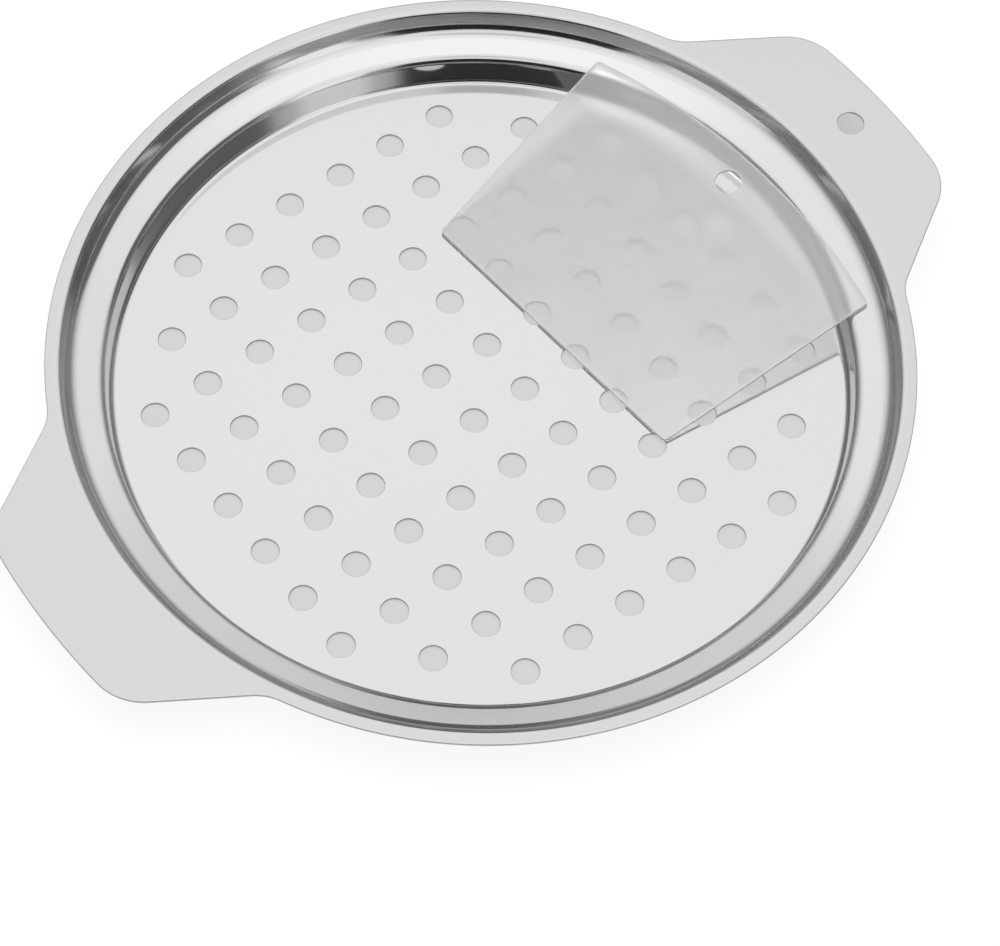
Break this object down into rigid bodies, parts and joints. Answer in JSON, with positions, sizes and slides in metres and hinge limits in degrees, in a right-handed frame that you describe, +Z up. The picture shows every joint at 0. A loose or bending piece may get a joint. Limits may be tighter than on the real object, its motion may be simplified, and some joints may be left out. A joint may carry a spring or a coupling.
{
  "type": "spaetzle maker",
  "caption": "Stepped round sheet-steel sieve plate with two flat wing handles that sits in a pot's mouth, with a loose flexible plastic scraper lying in its dish.",
  "frame": {"origin": "under the middle of the sieve floor, on the plane the dish stands on", "axes": "+Z up out of the dish, +X towards the wing with the hanging hole, +Y along the plain rim"},
  "size_m": [0.298, 0.2488, 0.0178],
  "materials": {
    "steel": "satin rolled stainless sheet, pressed and deburred",
    "scraper_plastic": "milky translucent polypropylene sheet"
  },
  "bodies": {
    "plate": {"sieve_plate": "steel"},
    "scraper": {"scraper": "scraper_plastic"}
  },
  "joints": [
    {"name": "scraper_sweep", "type": "slide", "parent": "plate", "child": "scraper", "axis": [-0.9951, -0.0993, 0], "range_m": [0, 0.118]}
  ]
}
